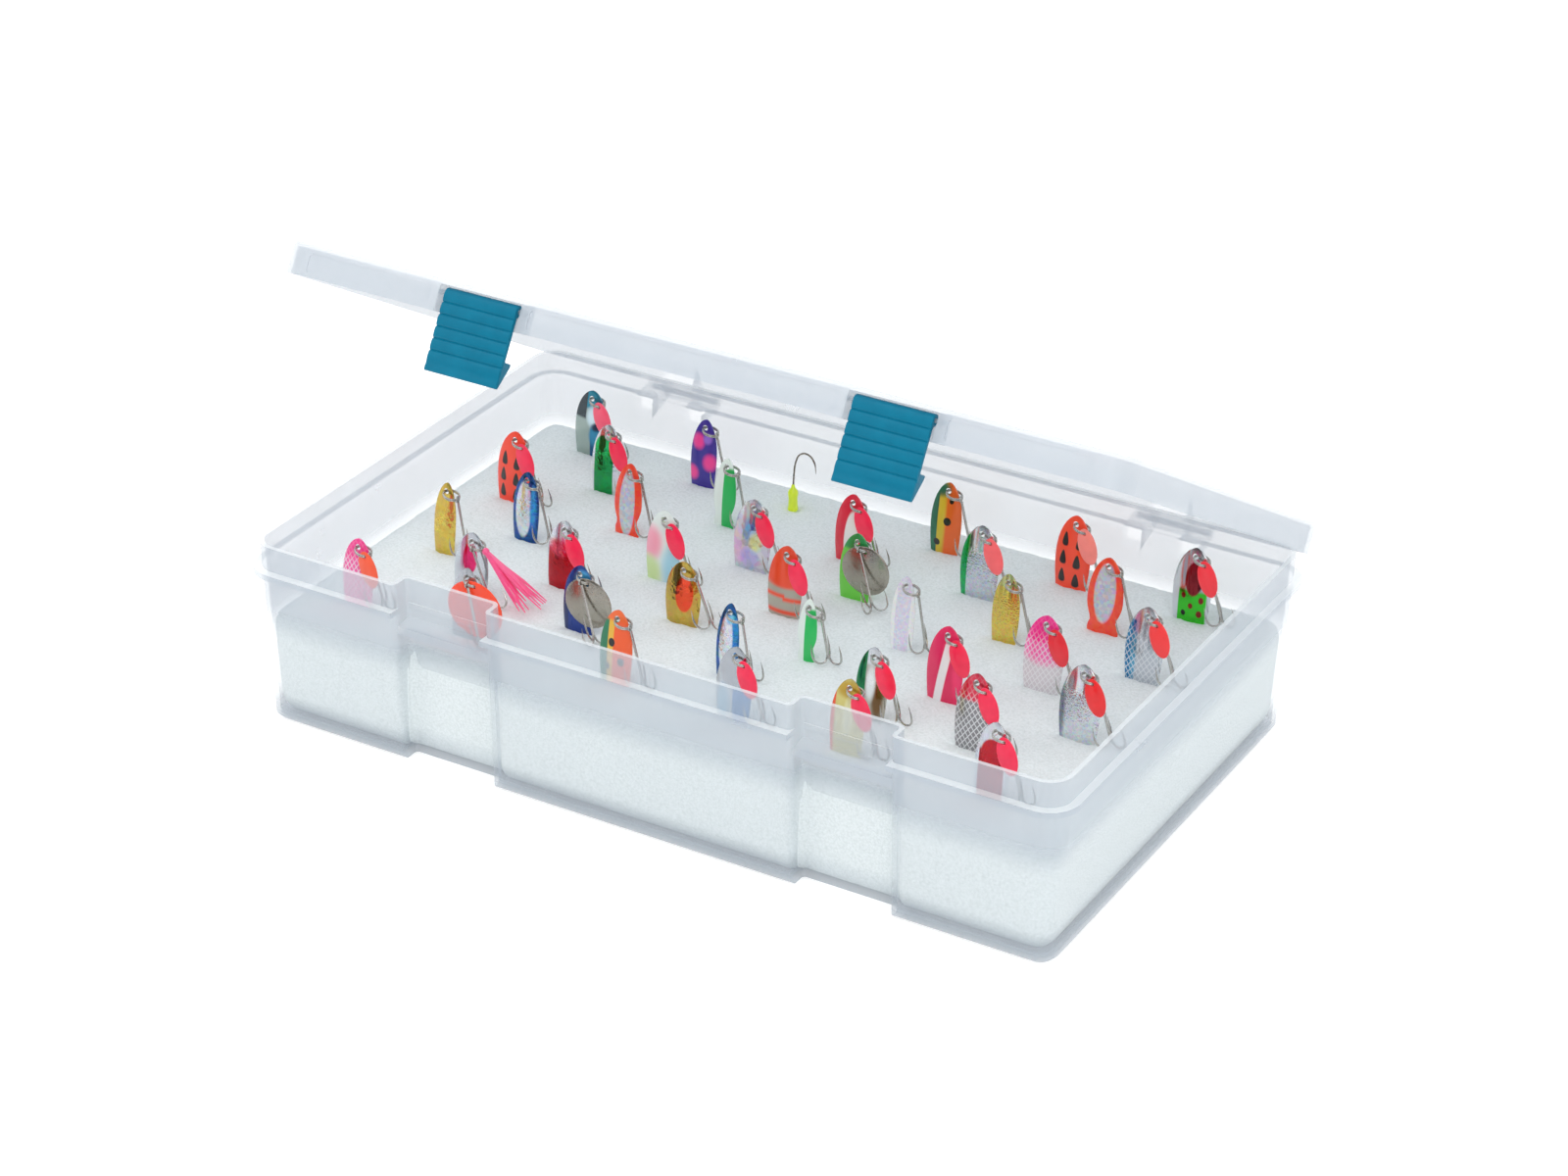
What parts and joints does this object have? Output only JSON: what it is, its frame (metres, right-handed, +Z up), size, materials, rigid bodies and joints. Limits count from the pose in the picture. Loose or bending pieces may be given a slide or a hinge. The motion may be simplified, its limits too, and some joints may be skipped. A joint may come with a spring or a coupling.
{
  "type": "lure box",
  "caption": "Clear shallow box with a hinged lid and two snap latches, holding a foam insert with rows of spoon lures standing in slits.",
  "frame": {"origin": "middle of the flat floor that the box stands on", "axes": "+X to the right along the front, +Y to the hinges at the back, +Z up"},
  "size_m": [0.356, 0.2282, 0.1916],
  "materials": {
    "clear_plastic": "translucent moulded plastic, faintly blue",
    "teal_plastic": "moulded teal plastic, semi-gloss",
    "foam": "soft white foam with a fluffy open surface",
    "teal_grey": "lacquered or plated spoon with steel ring and hook",
    "purple_dots": "lacquered or plated spoon with steel ring and hook",
    "chartreuse_jig": "lacquered or plated spoon with steel ring and hook",
    "perch_orange": "lacquered or plated spoon with steel ring and hook",
    "orange_teardrops": "lacquered or plated spoon with steel ring and hook",
    "green_spotted": "lacquered or plated spoon with steel ring and hook",
    "green_foil": "lacquered or plated spoon with steel ring and hook",
    "green_edge": "lacquered or plated spoon with steel ring and hook",
    "red_swoosh": "lacquered or plated spoon with steel ring and hook",
    "green_holo": "lacquered or plated spoon with steel ring and hook",
    "orange_fish": "lacquered or plated spoon with steel ring and hook",
    "orange_drops": "lacquered or plated spoon with steel ring and hook",
    "orange_outline": "lacquered or plated spoon with steel ring and hook",
    "prism_holo": "lacquered or plated spoon with steel ring and hook",
    "green_disc": "lacquered or plated spoon with steel ring and hook",
    "gold_glitter": "lacquered or plated spoon with steel ring and hook",
    "blue_silver": "lacquered or plated spoon with steel ring and hook",
    "blue_edge": "lacquered or plated spoon with steel ring and hook",
    "glow_pastel": "lacquered or plated spoon with steel ring and hook",
    "orange_nickel": "lacquered or plated spoon with steel ring and hook",
    "lavender": "lacquered or plated spoon with steel ring and hook",
    "pink_scale": "lacquered or plated spoon with steel ring and hook",
    "gold_foil": "lacquered or plated spoon with steel ring and hook",
    "red_foil": "lacquered or plated spoon with steel ring and hook",
    "gold_oval": "lacquered or plated spoon with steel ring and hook",
    "green_slim": "lacquered or plated spoon with steel ring and hook",
    "rose_swoosh": "lacquered or plated spoon with steel ring and hook",
    "chrome_holo": "lacquered or plated spoon with steel ring and hook",
    "squid_skirt": "lacquered or plated spoon with steel ring and hook",
    "blue_disc": "lacquered or plated spoon with steel ring and hook",
    "silver_slim": "lacquered or plated spoon with steel ring and hook",
    "green_nickel": "lacquered or plated spoon with steel ring and hook",
    "fishnet": "lacquered or plated spoon with steel ring and hook",
    "pink_pattern": "lacquered or plated spoon with steel ring and hook",
    "orange_disc": "lacquered or plated spoon with steel ring and hook",
    "perch_green": "lacquered or plated spoon with steel ring and hook",
    "chrome_blue": "lacquered or plated spoon with steel ring and hook",
    "yellow_edge": "lacquered or plated spoon with steel ring and hook",
    "dark_red_foil": "lacquered or plated spoon with steel ring and hook"
  },
  "bodies": {
    "root": {"tub": "clear_plastic", "foam_insert": "foam", "hinge_pins": "clear_plastic"},
    "lid": {"lid": "clear_plastic", "latch_pins": "clear_plastic"},
    "latch_left": {"latch_left": "teal_plastic"},
    "latch_right": {"latch_right": "teal_plastic"},
    "lure_teal_grey": {"lure_teal_grey": "teal_grey"},
    "lure_purple_dots": {"lure_purple_dots": "purple_dots"},
    "lure_chartreuse_jig": {"lure_chartreuse_jig": "chartreuse_jig"},
    "lure_perch_orange": {"lure_perch_orange": "perch_orange"},
    "lure_orange_teardrops": {"lure_orange_teardrops": "orange_teardrops"},
    "lure_green_spotted": {"lure_green_spotted": "green_spotted"},
    "lure_green_foil": {"lure_green_foil": "green_foil"},
    "lure_green_edge": {"lure_green_edge": "green_edge"},
    "lure_red_swoosh": {"lure_red_swoosh": "red_swoosh"},
    "lure_green_holo": {"lure_green_holo": "green_holo"},
    "lure_orange_fish": {"lure_orange_fish": "orange_fish"},
    "lure_orange_drops": {"lure_orange_drops": "orange_drops"},
    "lure_orange_outline": {"lure_orange_outline": "orange_outline"},
    "lure_prism_holo": {"lure_prism_holo": "prism_holo"},
    "lure_green_disc": {"lure_green_disc": "green_disc"},
    "lure_gold_glitter": {"lure_gold_glitter": "gold_glitter"},
    "lure_blue_silver": {"lure_blue_silver": "blue_silver"},
    "lure_blue_edge": {"lure_blue_edge": "blue_edge"},
    "lure_glow_pastel": {"lure_glow_pastel": "glow_pastel"},
    "lure_orange_nickel": {"lure_orange_nickel": "orange_nickel"},
    "lure_lavender": {"lure_lavender": "lavender"},
    "lure_pink_scale": {"lure_pink_scale": "pink_scale"},
    "lure_gold_foil": {"lure_gold_foil": "gold_foil"},
    "lure_red_foil": {"lure_red_foil": "red_foil"},
    "lure_gold_oval": {"lure_gold_oval": "gold_oval"},
    "lure_green_slim": {"lure_green_slim": "green_slim"},
    "lure_rose_swoosh": {"lure_rose_swoosh": "rose_swoosh"},
    "lure_chrome_holo": {"lure_chrome_holo": "chrome_holo"},
    "lure_squid_skirt": {"lure_squid_skirt": "squid_skirt"},
    "lure_blue_disc": {"lure_blue_disc": "blue_disc"},
    "lure_silver_slim": {"lure_silver_slim": "silver_slim"},
    "lure_green_nickel": {"lure_green_nickel": "green_nickel"},
    "lure_fishnet": {"lure_fishnet": "fishnet"},
    "lure_pink_pattern": {"lure_pink_pattern": "pink_pattern"},
    "lure_orange_disc": {"lure_orange_disc": "orange_disc"},
    "lure_perch_green": {"lure_perch_green": "perch_green"},
    "lure_chrome_blue": {"lure_chrome_blue": "chrome_blue"},
    "lure_yellow_edge": {"lure_yellow_edge": "yellow_edge"},
    "lure_dark_red_foil": {"lure_dark_red_foil": "dark_red_foil"}
  },
  "joints": [
    {"name": "lid_hinge", "type": "hinge", "parent": "root", "child": "lid", "pos_m": [0, 0.1171, 0.066], "axis": [-1, 0, 0], "range_deg": [-30.5, 75]},
    {"name": "latch_left_hinge", "type": "hinge", "parent": "lid", "child": "latch_left", "pos_m": [-0.0868, -0.06925, 0.18645], "axis": [-1, 0, 0], "range_deg": [0, 90]},
    {"name": "latch_right_hinge", "type": "hinge", "parent": "lid", "child": "latch_right", "pos_m": [0.0868, -0.06925, 0.18645], "axis": [-1, 0, 0], "range_deg": [0, 90]},
    {"name": "lift_teal_grey", "type": "slide", "parent": "root", "child": "lure_teal_grey", "axis": [0, 0, 1], "range_m": [0, 0.02]},
    {"name": "lift_purple_dots", "type": "slide", "parent": "root", "child": "lure_purple_dots", "axis": [0, 0, 1], "range_m": [0, 0.0195]},
    {"name": "lift_chartreuse_jig", "type": "slide", "parent": "root", "child": "lure_chartreuse_jig", "axis": [0, 0, 1], "range_m": [0, 0.021]},
    {"name": "lift_perch_orange", "type": "slide", "parent": "root", "child": "lure_perch_orange", "axis": [0, 0, 1], "range_m": [0, 0.0185]},
    {"name": "lift_orange_teardrops", "type": "slide", "parent": "root", "child": "lure_orange_teardrops", "axis": [0, 0, 1], "range_m": [0, 0.018]},
    {"name": "lift_green_spotted", "type": "slide", "parent": "root", "child": "lure_green_spotted", "axis": [0, 0, 1], "range_m": [0, 0.018]},
    {"name": "lift_green_foil", "type": "slide", "parent": "root", "child": "lure_green_foil", "axis": [0, 0, 1], "range_m": [0, 0.0345]},
    {"name": "lift_green_edge", "type": "slide", "parent": "root", "child": "lure_green_edge", "axis": [0, 0, 1], "range_m": [0, 0.035]},
    {"name": "lift_red_swoosh", "type": "slide", "parent": "root", "child": "lure_red_swoosh", "axis": [0, 0, 1], "range_m": [0, 0.0355]},
    {"name": "lift_green_holo", "type": "slide", "parent": "root", "child": "lure_green_holo", "axis": [0, 0, 1], "range_m": [0, 0.0335]},
    {"name": "lift_orange_fish", "type": "slide", "parent": "root", "child": "lure_orange_fish", "axis": [0, 0, 1], "range_m": [0, 0.033]},
    {"name": "lift_orange_drops", "type": "slide", "parent": "root", "child": "lure_orange_drops", "axis": [0, 0, 1], "range_m": [0, 0.049]},
    {"name": "lift_orange_outline", "type": "slide", "parent": "root", "child": "lure_orange_outline", "axis": [0, 0, 1], "range_m": [0, 0.0495]},
    {"name": "lift_prism_holo", "type": "slide", "parent": "root", "child": "lure_prism_holo", "axis": [0, 0, 1], "range_m": [0, 0.0495]},
    {"name": "lift_green_disc", "type": "slide", "parent": "root", "child": "lure_green_disc", "axis": [0, 0, 1], "range_m": [0, 0.052]},
    {"name": "lift_gold_glitter", "type": "slide", "parent": "root", "child": "lure_gold_glitter", "axis": [0, 0, 1], "range_m": [0, 0.0515]},
    {"name": "lift_blue_silver", "type": "slide", "parent": "root", "child": "lure_blue_silver", "axis": [0, 0, 1], "range_m": [0, 0.049]},
    {"name": "lift_blue_edge", "type": "slide", "parent": "root", "child": "lure_blue_edge", "axis": [0, 0, 1], "range_m": [0, 0.06]},
    {"name": "lift_glow_pastel", "type": "slide", "parent": "root", "child": "lure_glow_pastel", "axis": [0, 0, 1], "range_m": [0, 0.06]},
    {"name": "lift_orange_nickel", "type": "slide", "parent": "root", "child": "lure_orange_nickel", "axis": [0, 0, 1], "range_m": [0, 0.06]},
    {"name": "lift_lavender", "type": "slide", "parent": "root", "child": "lure_lavender", "axis": [0, 0, 1], "range_m": [0, 0.06]},
    {"name": "lift_pink_scale", "type": "slide", "parent": "root", "child": "lure_pink_scale", "axis": [0, 0, 1], "range_m": [0, 0.06]},
    {"name": "lift_gold_foil", "type": "slide", "parent": "root", "child": "lure_gold_foil", "axis": [0, 0, 1], "range_m": [0, 0.06]},
    {"name": "lift_red_foil", "type": "slide", "parent": "root", "child": "lure_red_foil", "axis": [0, 0, 1], "range_m": [0, 0.06]},
    {"name": "lift_gold_oval", "type": "slide", "parent": "root", "child": "lure_gold_oval", "axis": [0, 0, 1], "range_m": [0, 0.06]},
    {"name": "lift_green_slim", "type": "slide", "parent": "root", "child": "lure_green_slim", "axis": [0, 0, 1], "range_m": [0, 0.06]},
    {"name": "lift_rose_swoosh", "type": "slide", "parent": "root", "child": "lure_rose_swoosh", "axis": [0, 0, 1], "range_m": [0, 0.06]},
    {"name": "lift_chrome_holo", "type": "slide", "parent": "root", "child": "lure_chrome_holo", "axis": [0, 0, 1], "range_m": [0, 0.06]},
    {"name": "lift_squid_skirt", "type": "slide", "parent": "root", "child": "lure_squid_skirt", "axis": [0, 0, 1], "range_m": [0, 0.06]},
    {"name": "lift_blue_disc", "type": "slide", "parent": "root", "child": "lure_blue_disc", "axis": [0, 0, 1], "range_m": [0, 0.06]},
    {"name": "lift_silver_slim", "type": "slide", "parent": "root", "child": "lure_silver_slim", "axis": [0, 0, 1], "range_m": [0, 0.06]},
    {"name": "lift_green_nickel", "type": "slide", "parent": "root", "child": "lure_green_nickel", "axis": [0, 0, 1], "range_m": [0, 0.06]},
    {"name": "lift_fishnet", "type": "slide", "parent": "root", "child": "lure_fishnet", "axis": [0, 0, 1], "range_m": [0, 0.06]},
    {"name": "lift_pink_pattern", "type": "slide", "parent": "root", "child": "lure_pink_pattern", "axis": [0, 0, 1], "range_m": [0, 0.06]},
    {"name": "lift_orange_disc", "type": "slide", "parent": "root", "child": "lure_orange_disc", "axis": [0, 0, 1], "range_m": [0, 0.06]},
    {"name": "lift_perch_green", "type": "slide", "parent": "root", "child": "lure_perch_green", "axis": [0, 0, 1], "range_m": [0, 0.06]},
    {"name": "lift_chrome_blue", "type": "slide", "parent": "root", "child": "lure_chrome_blue", "axis": [0, 0, 1], "range_m": [0, 0.06]},
    {"name": "lift_yellow_edge", "type": "slide", "parent": "root", "child": "lure_yellow_edge", "axis": [0, 0, 1], "range_m": [0, 0.06]},
    {"name": "lift_dark_red_foil", "type": "slide", "parent": "root", "child": "lure_dark_red_foil", "axis": [0, 0, 1], "range_m": [0, 0.06]}
  ]
}
